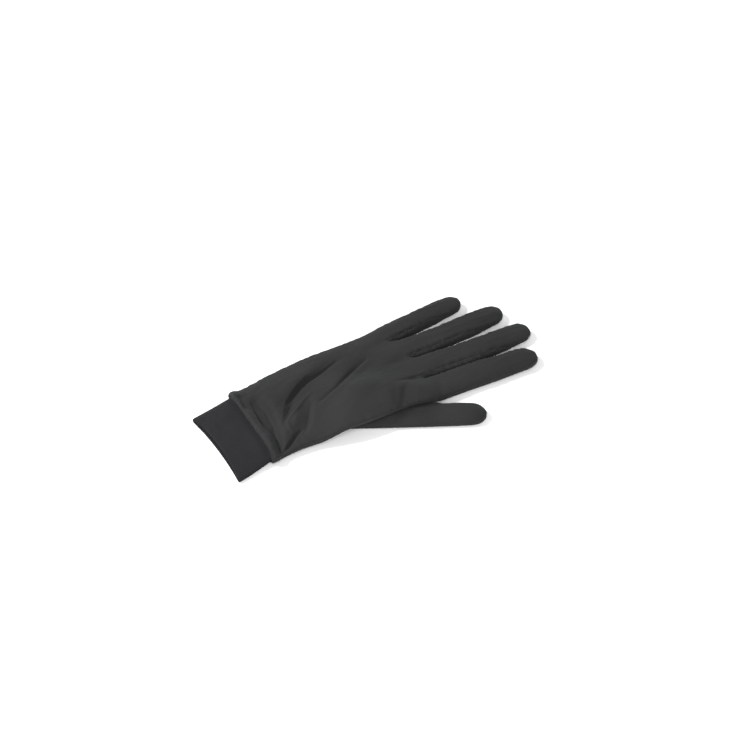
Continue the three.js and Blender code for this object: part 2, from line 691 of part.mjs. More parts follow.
function thumbGeometry() {
  const reach = THUMB_HOLE_LENGTH / 2;
  const walls = [0, CLOTH].map((inset) => {
    const rings = [holeRing(inset, CLOTH), holeRing(inset, -2 * SEAM_GAP)];
    for (const { low, high, wide, rise } of THUMB_ROOT) {
      const top = THUMB_ROOT_HEIGHT * rise;
      const lowEnd = { d: low * reach + inset, z: inset };
      const highEnd = { d: high * reach - inset * (1 - (low + 1) / 3), z: top - inset };
      rings.push(thumbRing(lowEnd, highEnd, (THUMB_WIDTH / 2) * wide, inset));
    }
    const begin = THUMB_ROOT[THUMB_ROOT.length - 1].high * reach;
    const tip = THUMB_WIDTH * 0.5;
    const straight = THUMB_LENGTH - begin - tip;
    const stations = [0.14, 0.32, 0.5, 0.68, 0.86, 1].map((share) => [share * straight, 1]);
    for (let i = 1; i < 5; i++) {
      const turn = ((Math.PI / 2) * i) / 5;
      stations.push([straight + (tip - inset) * Math.sin(turn), Math.cos(turn)]);
    }
    for (const [d, rounding] of stations) {
      const share = d / (THUMB_LENGTH - begin);
      const high = THUMB_HEIGHT * along(THUMB_PROFILE, "high", share);
      const side = SIDE_HEIGHT * high;
      const half = (THUMB_WIDTH / 2) * along(THUMB_PROFILE, "wide", share) - inset;
      const low = { d: begin + d, z: mix(side, inset, rounding ** 0.5) };
      const top = { d: begin + d, z: mix(side, high - inset, rounding ** 0.8) };
      rings.push(thumbRing(low, top, half * rounding, 0));
    }
    return rings;
  });
  const tips = [0, CLOTH].map((inset) => {
    const plan = thumbPlace(THUMB_LENGTH - inset, 0);
    return new THREE.Vector3(plan.x, plan.y, SIDE_HEIGHT * THUMB_HEIGHT * 0.9);
  });
  return tubeGeometry(walls[0], walls[1], tips);
}

// Solids for cutting: a geometry as a manifold and back.
function toSolid(geometry) {
  const merged = mergeVertices(geometry, 1e-4);
  return new wasm.Manifold(
    new wasm.Mesh({
      numProp: 3,
      vertProperties: new Float32Array(merged.attributes.position.array),
      triVerts: new Uint32Array(merged.index.array),
    }),
  );
}

function toGeometry(solid) {
  const mesh = solid.getMesh();
  return new THREE.BufferGeometry()
    .setAttribute("position", new THREE.BufferAttribute(mesh.vertProperties, 3))
    .setIndex(new THREE.BufferAttribute(mesh.triVerts, 1));
}

// The palm with its thumb hole cut through.
function palmGeometry(faces) {
  const outline = new THREE.Shape();
  outline.absellipse(0, 0, THUMB_HOLE_WIDTH / 2, THUMB_HOLE_LENGTH / 2, 0, 2 * Math.PI);
  const depth = 4 * BODY_HEIGHT;
  const cutter = new THREE.ExtrudeGeometry(outline, {
    depth: depth / 2, bevelEnabled: false, curveSegments: 10,
  });
  cutter.deleteAttribute("normal");
  cutter.deleteAttribute("uv");
  cutter.rotateZ(-thumbAngle);
  cutter.translate(holeMiddle.x, holeMiddle.y, -depth / 4 + THUMB_ROOT_HEIGHT / 2);
  return toGeometry(toSolid(clothGeometry(faces)).subtract(toSolid(cutter)));
}

const knit = new THREE.MeshStandardMaterial({ color: 0x3c3d3d, roughness: 0.92, metalness: 0 });
const rib = new THREE.MeshStandardMaterial({ color: 0x353538, roughness: 0.95, metalness: 0 });

const glove = new THREE.Group();

function place(name, geometry, material) {
  geometry.computeVertexNormals();
  const mesh = new THREE.Mesh(geometry, material.clone());
  mesh.name = name;
  glove.add(mesh);
}

for (const [name, faces] of skin.pieces)
  place(name, name === "palm_panel" ? palmGeometry(faces) : clothGeometry(faces), knit);
place("thumb", thumbGeometry(), knit);
place("cuff", cuffGeometry(), rib);

// The origin goes under the middle of the glove, on the surface that it lies on.
const extent = new THREE.Box3().setFromObject(glove);
const centre = extent.getCenter(new THREE.Vector3());
glove.position.set(-centre.x, -centre.y, -extent.min.z);

export default glove;
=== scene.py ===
"""Looks of a knitted glove liner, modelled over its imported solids.

The panels, fourchettes, thumb and cuff are cut out of the solids as thin cloth, smoothed, sewn
together along their seams, wrinkled, and given their knit. Lengths are metres unless a name or a
comment says millimetres.
"""

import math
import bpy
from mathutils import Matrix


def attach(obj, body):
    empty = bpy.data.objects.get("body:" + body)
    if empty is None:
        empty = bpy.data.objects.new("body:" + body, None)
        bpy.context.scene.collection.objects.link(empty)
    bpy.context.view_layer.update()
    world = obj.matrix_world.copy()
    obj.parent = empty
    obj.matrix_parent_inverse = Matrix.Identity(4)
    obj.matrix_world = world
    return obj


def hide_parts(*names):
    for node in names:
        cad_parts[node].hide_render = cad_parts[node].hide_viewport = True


bl_info = {
    "name": "Knitted glove liner",
    "version": (1, 0, 0),
    "blender": (4, 5, 0),
    "location": "3D View > Sidebar > Glove liner",
    "description": "Models the cloth, seams and rib cuff of a glove liner over its solids",
    "category": "Object",
}

import bmesh
import bpy
import numpy as np
from mathutils import Vector, noise
from mathutils.bvhtree import BVHTree
from mathutils.kdtree import KDTree

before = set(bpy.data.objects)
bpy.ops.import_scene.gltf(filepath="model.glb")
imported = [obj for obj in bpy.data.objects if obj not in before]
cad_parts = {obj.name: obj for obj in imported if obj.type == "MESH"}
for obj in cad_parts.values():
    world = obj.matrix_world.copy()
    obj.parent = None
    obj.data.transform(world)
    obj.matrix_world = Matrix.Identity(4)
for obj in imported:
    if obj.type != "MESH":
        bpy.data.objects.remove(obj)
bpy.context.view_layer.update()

MM = 0.001
THUMB_TURN = 27.0
# Half the width and half the height of the section of the thumb's and the cuff's tube, mm.
THUMB_HALVES = (11.5, 4.0)
CUFF_HALVES = (36.5, 4.2)
# The gaps between the fingers, from the little finger's to the index finger's, mm: where the
# middle of the gap lies at both places of GAP_Y, half its width there, and how far up the fingers
# touch.
GAP_Y = (45.0, 80.0)
FINGER_GAPS = (
    (-37.3, -39.6, 1.5, 4.2, 42.0),
    (-14.5, -15.2, 0.8, 2.0, 62.0),
    (7.8, 8.6, 0.9, 1.4, 86.0),
)
# Two fingers touch from ROOT_Y on, and part again over the length LETTING_GO round the last value
# of a gap. The closing fades sideways into a finger, up to a limit, and leaves twice CLOSED_HALF
# between two fingers. All in mm.
ROOT_Y = (34.0, 40.0)
LETTING_GO = (-14.0, 6.0)
CLOSING_WIDTH = 2.2
CLOSING_LIMIT = 6.0
CLOSED_HALF = 0.15
JERSEY_WALE_MM = 0.9
JERSEY_COURSE_MM = 0.75
RIB_COURSE_MM = 0.9
FOURCHETTES = ("fourchette_index_middle", "fourchette_middle_ring", "fourchette_ring_little")
PANELS = ("back_panel", "palm_panel") + FOURCHETTES

# The longest edges that are left in a mesh, mm: of the panels, the thumb and the cuff, and of the
# bands along seams and folds, with the width of those bands; and the edges across a cuff's rib.
PANEL_EDGE = 1.15
THUMB_EDGE = 1.3
CUFF_EDGE = 1.6
SEAM_BAND, SEAM_EDGE = 2.6, 0.75
FOLD_BAND, FOLD_EDGE = 2.4, 0.76
RIB_STEPS = 4.5

# A panel's border looks for its neighbour's within this reach, mm, and a seam's two borders lie
# within the second one once they meet.
BORDER_REACH = 0.9
SEWN_REACH = 0.35

# What counts as the outside of the cloth: the share of sight lines that miss the rest of the glove.
SKY_SHARE = 0.25
GOLDEN_ANGLE = 2.399963

# Across a seam, mm: how far the two sides share one normal, where the shoulder beside the seam is
# highest and how wide it is, and the strip in the middle that has no puckers.
SHARED_NORMAL = 2.2
SHOULDER_AT, SHOULDER_WIDTH = 2.3, 1.3
QUIET_STRIP = 0.6

# Places along the glove, mm: the seam to the cuff, the gathered wrist, the way from the hand to
# the fingers, and the root of the index finger with its reach along and where it starts across;
# and the heights over which the back's folds set in.
CUFF_SEAM_Y = -95.5
WRIST_Y = (-88.0, -45.0)
FINGERS_Y = (32.0, 52.0)
INDEX_ROOT_Y, INDEX_ROOT_REACH, INDEX_ROOT_X = 23.0, 10.0, (24.0, 31.0)
UPPER_SIDE_Z = (4.0, 6.5)

# The roll's front edge, mm: where along the glove and between which heights it turns in, and how
# far it goes down and back.
ROLL_FRONT_Y = (-96.0, -95.0)
ROLL_FOOT_Z, ROLL_TOP_Z = (6.0, 9.0), (10.0, 12.2)
ROLL_DOWN, ROLL_BACK = 1.5, 1.1

# Where the thumb is pressed up to the hand, mm: from its root on, up to the slit with the index
# finger, and out to the hand's side, which leans; and the air that stays between the two.
PRESS_ROOT_Y, PRESS_SLIT_Y = (-22.0, -6.0), (22.0, 34.0)
PRESS_SIDE_X, PRESS_LEAN, PRESS_LEAN_Y = (31.5, 39.0), 0.1, 15.0
PRESS_AIR = 0.4

# The cuff, mm: how far from the mouth its lip sinks, the swell of the outside at the mouth, the
# slack of the upper wall, and where and how far the seam to the back draws that wall down.
LIP_REACH = 9.0
MOUTH_SWELL = 0.12
SLACK = 0.25
DRAWN_Y, DRAWN_DOWN = (-99.5, -97.0), 0.7

# The lowest place that cloth may have over the surface that the glove lies on, mm.
LOWEST = 0.02

# The cloth's waves, as layers of noise: the way that a layer runs, degrees from +Y, the size of
# its patches across that way, along it and in height, mm, the seed of its noise, and its share.
WAVES = {
    "thread_pull": ((0.0, (4.5, 4.5, 4.5), 1.3, 1.2), (0.0, (1.9, 1.9, 1.9), 4.1, 0.5)),
    "puckers": ((0.0, (3.4, 3.4, 3.4), 3.1, 1.0), (0.0, (1.7, 1.7, 1.7), 7.7, 0.5)),
    "drag_lines": ((-33.0, (5.0, 26.0, 9.0), 5.0, 1.0), (-24.0, (3.2, 17.0, 6.0), 9.0, 0.35)),
    "finger_waves": ((0.0, (3.6, 24.0, 4.0), 2.0, 1.0), (0.0, (2.0, 9.0, 3.0), 4.0, 0.5)),
    "thumb_waves": ((THUMB_TURN, (4.5, 20.0, 4.0), 2.0, 1.0),
                    (THUMB_TURN, (2.5, 7.0, 3.0), 3.0, 0.3)),
    "unevenness": ((0.0, (1.9, 1.9, 1.9), 6.0, 1.0),),
    "gathers": ((0.0, (4.5, 1.0, 1.0), 8.0, 1.0), (0.0, (2.1, 1.0, 1.0), 11.0, 0.5)),
    "cuff_slack": ((0.0, (9.0, 14.0, 9.0), 5.5, 1.0),),
}

# The knit: how round a column of stitches is, how far a stitch slants, what the stitches and the
# fuzz add to the height of a column, and the painted shade of the furrows between columns, as a
# share of the cloth's colour, with the painted light that a column's height adds to it.
COLUMN_ROUNDNESS = 2.5
STITCH_SLANT = 0.55
STITCH_HEIGHT = 0.22
FUZZ_HEIGHT = 0.35
FURROW_PAINTED_SHADE, COLUMN_PAINTED_LIGHT = 0.76, 0.28
SHEEN_TINT = "#8C9094"
PAPER = "#F6F6F6"

# The camera looks down at 44 degrees, as the photograph does, and the shift is its framing.
CAMERA_AIM = (-0.001, 0.00075, 0.0)
CAMERA_WAY = (0.63097, -0.34544, 0.69466)
CAMERA_DISTANCE = 1.4
CAMERA_SENSOR_MM, CAMERA_LENS_MM = 36, 98.07
CAMERA_SHIFT = (-0.0188, 0.0376)
# The soft lights: name, place, diameter and watts; and the strength of the daylight all round.
LAMPS = (("key", (-0.9, -1.0, 1.3), 0.5, 41.0), ("fill", (1.0, -0.45, 1.0), 1.2, 21.0))
DAYLIGHT = 0.47

# Folds of the gathered back, drawn sharper than the solids hold them: the line in plan, its rise
# (a crest is above 0, a valley below), and the widths of its flanks left and right of the way
# that the line runs. All in mm. A flank is bell-shaped, or an even slope where a valley's flank is
# wider than EVEN_SLOPE_FROM. A fold narrower than NARROW_FOLD has finer edges in its mesh.
EVEN_SLOPE_FROM = 4.0
NARROW_FOLD = 2.1
FOLDS = {
    "long_valley": (((-12.9, -64.4), (-16.8, -59.3), (-23.6, -49.6), (-27.7, -41.2), (-30.7, -27.0),
                     (-34.1, -15.6)), -2.3, 1.1, 1.9),
    "long_valley_lip": (((0.9, -75.6), (-6.1, -71.7), (-14.3, -66.0), (-19.1, -60.5),
                         (-26.2, -50.6), (-30.7, -42.0), (-34.3, -28.3)), 0.9, 6.0, 0.9),
    "wrist_dome": (((-27.0, -74.0), (-18.0, -73.0), (-8.0, -77.5)), 0.9, 5.0, 4.5),
    "pocket": (((2.6, -74.0), (-7.0, -66.2), (-14.1, -59.1)), -1.7, 1.8, 2.6),
    "thin_ridge": (((11.9, -73.9), (9.1, -74.7), (3.4, -73.4), (0.1, -69.4), (-2.6, -64.2),
                    (-6.3, -58.4), (-9.5, -54.5), (-13.8, -46.8)), 1.1, 1.0, 1.4),
    "shaded_hollow": (((17.0, -67.5), (11.5, -62.0), (4.5, -57.0), (-4.5, -51.0)), -3.4, 8.0, 2.0),
    "upper_valley": (((-1.3, -43.8), (-4.9, -35.7), (-7.2, -28.9), (-12.9, -20.4), (-18.1, -12.9),
                      (-21.6, -5.5), (-25.6, 4.0)), -1.9, 1.9, 1.0),
    "upper_crest": (((1.0, -45.0), (-1.5, -38.0), (-3.5, -31.0), (-9.5, -21.5), (-15.0, -13.0),
                     (-18.5, -5.8), (-22.8, 4.5)), 1.1, 1.0, 3.5),
    "thumb_side_tuck": (((24.5, -86.5), (21.3, -81.1), (18.5, -76.5), (16.0, -73.0), (13.8, -67.6)),
                        -2.2, 1.2, 1.2),
    "roll": (((-41.0, -95.0), (-30.0, -94.4), (-18.0, -94.6), (-5.0, -94.3), (9.0, -94.0),
              (22.0, -93.5)), 0.9, 4.0, 2.0),
    "behind_roll_little_side": (((-18.0, -93.2), (-27.9, -92.4), (-36.4, -91.8)), -3.2, 1.2, 3.4),
    "behind_roll": (((6.5, -88.0), (0.4, -89.2), (-5.0, -88.8), (-12.1, -88.0), (-22.9, -87.0)),
                    -2.8, 1.2, 5.4),
    "leaf_hollow": (((23.3, -89.0), (11.5, -85.0), (-1.4, -82.4), (-13.9, -81.4), (-24.5, -82.7)),
                    -4.3, 5.4, 3.2),
    "behind_roll_thumb_side": (((26.0, -90.9), (19.2, -87.5), (12.1, -85.4), (6.0, -85.8)),
                               -1.7, 1.2, 2.4),
    "knuckle_tuck": (((13.2, 15.7), (20.5, 9.7), (26.8, 5.0), (31.5, 1.3)), -1.6, 9.0, 2.4),
    "knuckle_rise": (((13.0, 1.0), (20.0, -1.5), (28.0, -5.0)), 0.8, 2.6, 6.0),
    "index_root": (((13.9, 40.1), (24.6, 36.3), (30.0, 32.5)), -0.4, 2.5, 2.5),
}


# Shapes and helpers


def clean_selection():
    for item in bpy.context.selected_objects:
        item.select_set(False)


def pick(piece):
    """Makes a piece the only selected and active object."""
    clean_selection()
    piece.select_set(True)
    bpy.context.view_layer.objects.active = piece


def points_of(mesh):
    co = np.empty(len(mesh.vertices) * 3)
    mesh.vertices.foreach_get("co", co)
    return co.reshape(-1, 3) / MM


def normals_of(mesh):
    normals = np.empty(len(mesh.vertices) * 3)
    mesh.vertices.foreach_get("normal", normals)
    return normals.reshape(-1, 3)


def put_points(mesh, co):
    mesh.vertices.foreach_set("co", np.asarray(co * MM, np.float32).ravel())
    mesh.update()


def smooth_step(low, high, value):
    t = np.clip((value - low) / (high - low), 0, 1)
    return t * t * (3 - 2 * t)


def bell(value, width):
    return np.exp(-((value / width) ** 2))


def noise_at(points, scale, seed):
    """Smooth noise from -1 to 1 at points in mm. scale: size of its patches, mm, one per axis."""
    spread = points / np.asarray(scale) + (seed, 2.3 * seed, -1.7 * seed)
    return np.array([noise.noise(Vector(p)) for p in spread])


def across_and_along(points, turn):
    """Plan coordinates turned so that the second one runs along a direction, degrees from +Y."""
    a = math.radians(turn)
    u = points[:, 0] * math.cos(a) - points[:, 1] * math.sin(a)
    v = points[:, 0] * math.sin(a) + points[:, 1] * math.cos(a)
    return np.stack([u, v, points[:, 2]], 1)


def waves(kind, points):
    """The sum of a kind's layers of noise at points in mm."""
    return sum(
        share * noise_at(across_and_along(points, turn), size, seed)
        for turn, size, seed, share in WAVES[kind]
    )


def free_share(normal):
    """1 on the upper side of the cloth, 0 where it lies on the surface below."""
    return smooth_step(-0.75, 0.1, normal[:, 2])


def along_line(plan, line):
    """Distance of points in plan from a line of points, the side of it that they lie on (1 is
    right), and how far along it they are, from 0 to 1."""
    line = np.array(line)
    lengths = np.linalg.norm(np.diff(line, axis=0), axis=1)
    starts = np.concatenate([[0], np.cumsum(lengths)])
    nearest = np.full(len(plan), 1e9)
    side = np.ones(len(plan))
    share = np.zeros(len(plan))
    for a, b, start, length in zip(line[:-1], line[1:], starts, lengths):
        way = (b - a) / length
        t = np.clip((plan - a) @ way, 0, length)
        off = plan - (a + t[:, None] * way)
        distance = np.linalg.norm(off, axis=1)
        closer = distance < nearest
        nearest = np.where(closer, distance, nearest)
        side = np.where(closer, np.sign(off[:, 0] * way[1] - off[:, 1] * way[0]), side)
        share = np.where(closer, (start + t) / starts[-1], share)
    return nearest, side, share


def fold_relief(points):
    """Height that the folds add at points of the back, mm."""
    height = np.zeros(len(points))
    for line, rise, left, right in FOLDS.values():
        distance, side, share = along_line(points[:, :2], line)
        taper = np.sin(np.pi * (0.08 + 0.84 * share)) ** 0.7
        width = np.where(side > 0, right, left)
        slope = np.clip(1 - distance / width, 0, 1)
        even = (width > EVEN_SLOPE_FROM) & (rise < 0)
        height += rise * taper * np.where(even, slope, bell(distance, width))
    return height


# Cutting the cloth out of the solids


def sight_lines(count=60):
    """Directions spread evenly over the sphere."""
    lines = []
    for k in range(count):
        z = 1 - 2 * (k + 0.5) / count
        r = math.sqrt(1 - z * z)
        turn = k * GOLDEN_ANGLE
        lines.append(Vector((r * math.cos(turn), r * math.sin(turn), z)))
    return lines


def node_bmesh(node):
    """A node's loose triangles as one welded mesh."""
    bm = bmesh.new()
    bm.from_mesh(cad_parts[node].data)
    bmesh.ops.remove_doubles(bm, verts=bm.verts, dist=0.002 * MM)
    bm.normal_update()
    bm.faces.index_update()
    return bm


def cloth_around(nodes):
    """A search tree of several nodes together."""
    co, faces = [], []
    for node in nodes:
        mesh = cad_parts[node].data
        start = len(co)
        co += [v.co.copy() for v in mesh.vertices]
        faces += [[start + i for i in p.vertices] for p in mesh.polygons]
    return BVHTree.FromPolygons(co, faces)


def largest_island(bm):
    """The faces of the largest connected stretch of cloth."""
    left = set(bm.faces)
    largest = set()
    while left:
        front = [left.pop()]
        island = set(front)
        while front:
            near = {f for edge in front.pop().edges for f in edge.link_faces} & left
            left -= near
            island |= near
            front += near
        largest = max(largest, island, key=len)
    return largest


def keep_outer_side(bm, around):
    """Leaves only the side of the cloth that can be seen from outside: its points see past the
    rest of the glove in many directions, and those of the inner side and of the rim don't. What
    is seen of the inner side through the thumb hole is a stretch by itself, and goes too."""
    lines = sight_lines()
    sky = []
    for face in bm.faces:
        start = face.calc_center_median() + face.normal * 0.1 * MM
        ahead = [d for d in lines if d.dot(face.normal) > 0.1]
        sky.append(sum(around.ray_cast(start, d)[0] is None for d in ahead) / len(ahead))
    outer = {v for v in bm.verts if max(sky[f.index] for f in v.link_faces) > SKY_SHARE}
    hidden = [f for f in bm.faces if not all(v in outer for v in f.verts)]
    bmesh.ops.delete(bm, geom=hidden, context="FACES")
    kept = largest_island(bm)
    bmesh.ops.delete(bm, geom=[f for f in bm.faces if f not in kept], context="FACES")


def as_quads(bm):
    bmesh.ops.join_triangles(
        bm, faces=bm.faces, angle_face_threshold=math.radians(70),
        angle_shape_threshold=math.radians(75),
    )


def new_piece(name, bm):
    mesh = bpy.data.meshes.new(name)
    bm.to_mesh(mesh)
    bm.free()
    piece = bpy.data.objects.new(name, mesh)
    bpy.context.scene.collection.objects.link(piece)
    return piece


def apply_modifier(piece, kind, **settings):
    pick(piece)
    modifier = piece.modifiers.new(kind.lower(), kind)
    for key, value in settings.items():
        setattr(modifier, key, value)
    bpy.ops.object.modifier_apply(modifier=modifier.name)


def refine(piece, longest):
    """Smooths a piece by subdivision, then halves what is still longer than a length in mm."""
    apply_modifier(
        piece, "SUBSURF", levels=2, render_levels=2, boundary_smooth="PRESERVE_CORNERS"
    )
    bm = bmesh.new()
    bm.from_mesh(piece.data)
    far = [e for e in bm.edges if e.calc_length() > longest * MM]
    bmesh.ops.subdivide_edges(bm, edges=far, cuts=1, use_grid_fill=True)
    bm.to_mesh(piece.data)
    bm.free()


def split_near(piece, distance_of, reach, longest):
    """Halves the edges near something, so that its small forms have points enough, mm."""
    bm = bmesh.new()
    bm.from_mesh(piece.data)
    edges = list(bm.edges)
    middles = np.array([(e.verts[0].co + e.verts[1].co) / 2 for e in edges]) / MM
    near = distance_of(middles) < reach
    fine = [e for e, n in zip(edges, near) if n and e.calc_length() > longest * MM]
    bmesh.ops.subdivide_edges(bm, edges=fine, cuts=1, use_grid_fill=True)
    bm.to_mesh(piece.data)
    bm.free()


def fold_distance(points):
    """Distance from the nearest narrow fold in plan, for points on the upper side."""
    near = np.full(len(points), 1e9)
    for line, _, left, right in FOLDS.values():
        if min(left, right) < NARROW_FOLD:
            near = np.minimum(near, along_line(points[:, :2], line)[0])
    return np.where(points[:, 2] > 5.0, near, 1e9)


def lay_flat(piece, mirrored=False):
    """Unwraps a piece as its pattern was cut: the UV map is in millimetres, its second axis along
    the wales, which run up the hand."""
    pick(piece)
    bpy.ops.object.mode_set(mode="EDIT")
    bpy.ops.mesh.select_all(action="SELECT")
    bpy.ops.uv.unwrap(method="ANGLE_BASED", margin=0.0)
    bpy.ops.object.mode_set(mode="OBJECT")
    mesh = piece.data
    uv = np.empty(len(mesh.loops) * 2)
    mesh.uv_layers.active.data.foreach_get("uv", uv)
    flat = uv.reshape(-1, 2) @ (1, 1j)
    corner = np.empty(len(mesh.loops), np.int32)
    mesh.loops.foreach_get("vertex_index", corner)
    co = points_of(mesh)[corner]
    plan = (-co[:, 0] if mirrored else co[:, 0]) + 1j * co[:, 1]
    flat -= flat.mean()
    plan = plan - plan.mean()
    turn = (np.conj(flat) @ plan) / (np.conj(flat) @ flat)
    flat = flat * turn
    mesh.uv_layers.active.data.foreach_set(
        "uv", np.stack([flat.real, flat.imag], 1).astype(np.float32).ravel()
    )


class TubeMap:
    """The way round and along a flattened tube. turn: of its axis from +Y, degrees. halves: half
    the width and height of its section, mm. A whole number of pitches goes round it."""

    BANDS = 24
    STEPS = 720

    def __init__(self, points, turn, halves, pitch):
        self.turn = turn
        p = across_and_along(points, turn)
        edges = np.linspace(p[:, 1].min(), p[:, 1].max() + 1e-6, self.BANDS + 1)
        band = np.digitize(p[:, 1], edges) - 1
        rows = [
            (0.5 * (edges[k] + edges[k + 1]), p[band == k])
            for k in range(self.BANDS) if (band == k).sum() > 3
        ]
        self.station = np.array([r[0] for r in rows])
        low = np.array([r[1].min(0) for r in rows])
        high = np.array([r[1].max(0) for r in rows])
        self.middle, self.half = (low + high) / 2, np.maximum((high - low) / 2, 0.3)
        self.angles = np.linspace(-math.pi, math.pi, self.STEPS + 1)
        steps = np.hypot(halves[0] * np.sin(self.angles), halves[1] * np.cos(self.angles))
        length = np.concatenate([[0], np.cumsum((steps[1:] + steps[:-1]) / 2)])
        length *= 2 * math.pi / self.STEPS
        self.girth = round(length[-1] / pitch) * pitch
        self.length = length * self.girth / length[-1]

    def place(self, points):
        """Length round the tube, length along it, and the direction out of it in its section."""
        p = across_and_along(points, self.turn)
        off = [
            (p[:, k] - np.interp(p[:, 1], self.station, self.middle[:, k]))
            / np.interp(p[:, 1], self.station, self.half[:, k]) for k in (0, 2)
        ]
        return np.interp(np.arctan2(off[1], off[0]), self.angles, self.length), p[:, 1], off

    def write_uv(self, mesh):
        around, along, _ = self.place(points_of(mesh))
        uv = mesh.uv_layers.new(name="knit") if not mesh.uv_layers else mesh.uv_layers[0]
        for polygon in mesh.polygons:
            corners = [(loop, mesh.loops[loop].vertex_index) for loop in polygon.loop_indices]
            turns = [around[v] for _, v in corners]
            wraps = max(turns) - min(turns) > self.girth / 2
            for (loop, v), u in zip(corners, turns):
                uv.data[loop].uv = (u + self.girth if wraps and u < self.girth / 2 else u, along[v])


# Seams


def border_points(piece):
    mesh = piece.data
    bm = bmesh.new()
    bm.from_mesh(mesh)
    index = [v.index for v in bm.verts if v.is_boundary]
    bm.free()
    return index


def meet_at_seams(pieces):
    """Moves the borders of neighbouring pieces, which a clearance keeps apart, to their middle."""
    borders = {p.name: border_points(p) for p in pieces}
    where = {p.name: points_of(p.data) for p in pieces}
    tree = KDTree(sum(map(len, borders.values())))
    owner = []
    for name, index in borders.items():
        for i in index:
            tree.insert(Vector(where[name][i]), len(owner))
            owner.append((name, i))
    tree.balance()
    moved = {name: co.copy() for name, co in where.items()}
    for name, index in borders.items():
        for i in index:
            closest = {}
            for co, k, distance in tree.find_range(Vector(where[name][i]), BORDER_REACH):
                other = owner[k][0]
                if other not in closest or distance < closest[other][0]:
                    closest[other] = (distance, co)
            if len(closest) > 1:
                moved[name][i] = np.mean([co for _, co in closest.values()], axis=0)
    for piece in pieces:
        put_points(piece.data, moved[piece.name])


class Seams:
    """The lines along which pieces meet: points, and the mean of the normals of both sides."""

    def __init__(self, pieces):
        names, co, normals = [], [], []
        for piece in pieces:
            index = border_points(piece)
            names += [piece.name] * len(index)
            co.append(points_of(piece.data)[index])
            normals.append(normals_of(piece.data)[index])
        self.co = np.concatenate(co)
        own = np.concatenate(normals)
        tree = KDTree(len(self.co))
        for i, p in enumerate(self.co):
            tree.insert(Vector(p), i)
        tree.balance()
        mean = own.copy()
        sewn = np.zeros(len(self.co), bool)
        for i, p in enumerate(self.co):
            for _, k, _ in tree.find_range(Vector(p), SEWN_REACH):
                if names[k] != names[i]:
                    mean[i] += own[k]
                    sewn[i] = True
        self.co = self.co[sewn]
        self.normal = mean[sewn] / np.linalg.norm(mean[sewn], axis=1)[:, None]
        self.tree = KDTree(len(self.co))
        for i, p in enumerate(self.co):
            self.tree.insert(Vector(p), i)
        self.tree.balance()

    def nearest(self, points):
        found = [self.tree.find(Vector(p)) for p in points]
        index = np.array([f[1] for f in found])
        return self.co[index], self.normal[index], np.array([f[2] for f in found])

    def distance(self, points):
        return np.array([self.tree.find(Vector(p))[2] for p in points])


def soft_normals(piece, seams):
    """A piece's normals, turned into the seam's own normal near a seam, so that both sides of a
    seam move alike."""
    own = normals_of(piece.data)
    _, seam_normal, distance = seams.nearest(points_of(piece.data))
    share = smooth_step(0.0, SHARED_NORMAL, distance)[:, None]
    normal = own * share + seam_normal * (1 - share)
    return normal / np.linalg.norm(normal, axis=1)[:, None]


def sew(piece, seams, sizes):
    """Rolls the cloth down into its seams, with soft shoulders. The thread gathers it unevenly, so
    a seam shows as a row of puckers."""
    co = points_of(piece.data)
    normal = soft_normals(piece, seams)
    at, inside, distance = seams.nearest(co)
    free = smooth_step(-0.8, 0.0, normal[:, 2])
    depth = sizes.groove_depth_mm * np.clip(0.4 + waves("thread_pull", at), 0.08, 1.7)
    groove = bell(distance, sizes.groove_width_mm)
    shoulder = bell(distance - SHOULDER_AT, SHOULDER_WIDTH) - bell(SHOULDER_AT, SHOULDER_WIDTH)
    reach = np.exp(-distance / sizes.pucker_reach_mm) * (1 - np.exp(-distance / QUIET_STRIP))
    co -= inside * (depth * groove * (0.2 + 0.8 * free))[:, None]
    lift = sizes.shoulder_mm * shoulder + 1.7 * sizes.pucker_mm * waves("puckers", at) * reach
    co += normal * (lift * free)[:, None]
    put_points(piece.data, co)


def wrinkle(piece, seams, sizes):
    """The cloth's own unrest: drag lines from the gathered wrist and soft lengthwise waves, then
    the folds of the back, the gathers of the roll and the root of the index finger."""
    co = points_of(piece.data)
    normal = soft_normals(piece, seams)
    finger = smooth_step(*FINGERS_Y, co[:, 1])
    wrist = 1 - smooth_step(*WRIST_Y, co[:, 1])
    lift = sizes.drag_mm * waves("drag_lines", co) * (1 - finger) * (0.55 + 0.9 * wrist)
    lift += sizes.finger_wave_mm * waves("finger_waves", co) * (0.3 + 0.7 * finger)
    lift += sizes.pimple_mm * waves("unevenness", co)
    co += normal * (lift * free_share(normal))[:, None]
    top = smooth_step(0.1, 0.55, normal[:, 2]) * smooth_step(*UPPER_SIDE_Z, co[:, 2])
    co[:, 2] += fold_relief(co) * top
    # the gathers of the seam to the cuff stand across the roll
    near = np.exp(-np.clip(co[:, 1] - CUFF_SEAM_Y, 0, None) / 4.0) * (1 - finger)
    co[:, 2] += sizes.gather_mm * waves("gathers", co * (1, 0, 0)) * near * top
    # the root of the index finger bulges over the thumb
    bulge = bell(co[:, 1] - INDEX_ROOT_Y, INDEX_ROOT_REACH) * smooth_step(*INDEX_ROOT_X, co[:, 0])
    co[:, 0] += sizes.root_bulge_mm * bulge
    put_points(piece.data, co)


def tuck_roll(piece):
    """The roll's front edge turns down and back to the cuff that it is sewn to."""
    co = points_of(piece.data)
    front = 1 - smooth_step(*ROLL_FRONT_Y, co[:, 1])
    turn = front * smooth_step(*ROLL_FOOT_Z, co[:, 2]) * (1 - smooth_step(*ROLL_TOP_Z, co[:, 2]))
    co[:, 2] -= ROLL_DOWN * turn
    co[:, 1] += ROLL_BACK * turn ** 2
    put_points(piece.data, co)


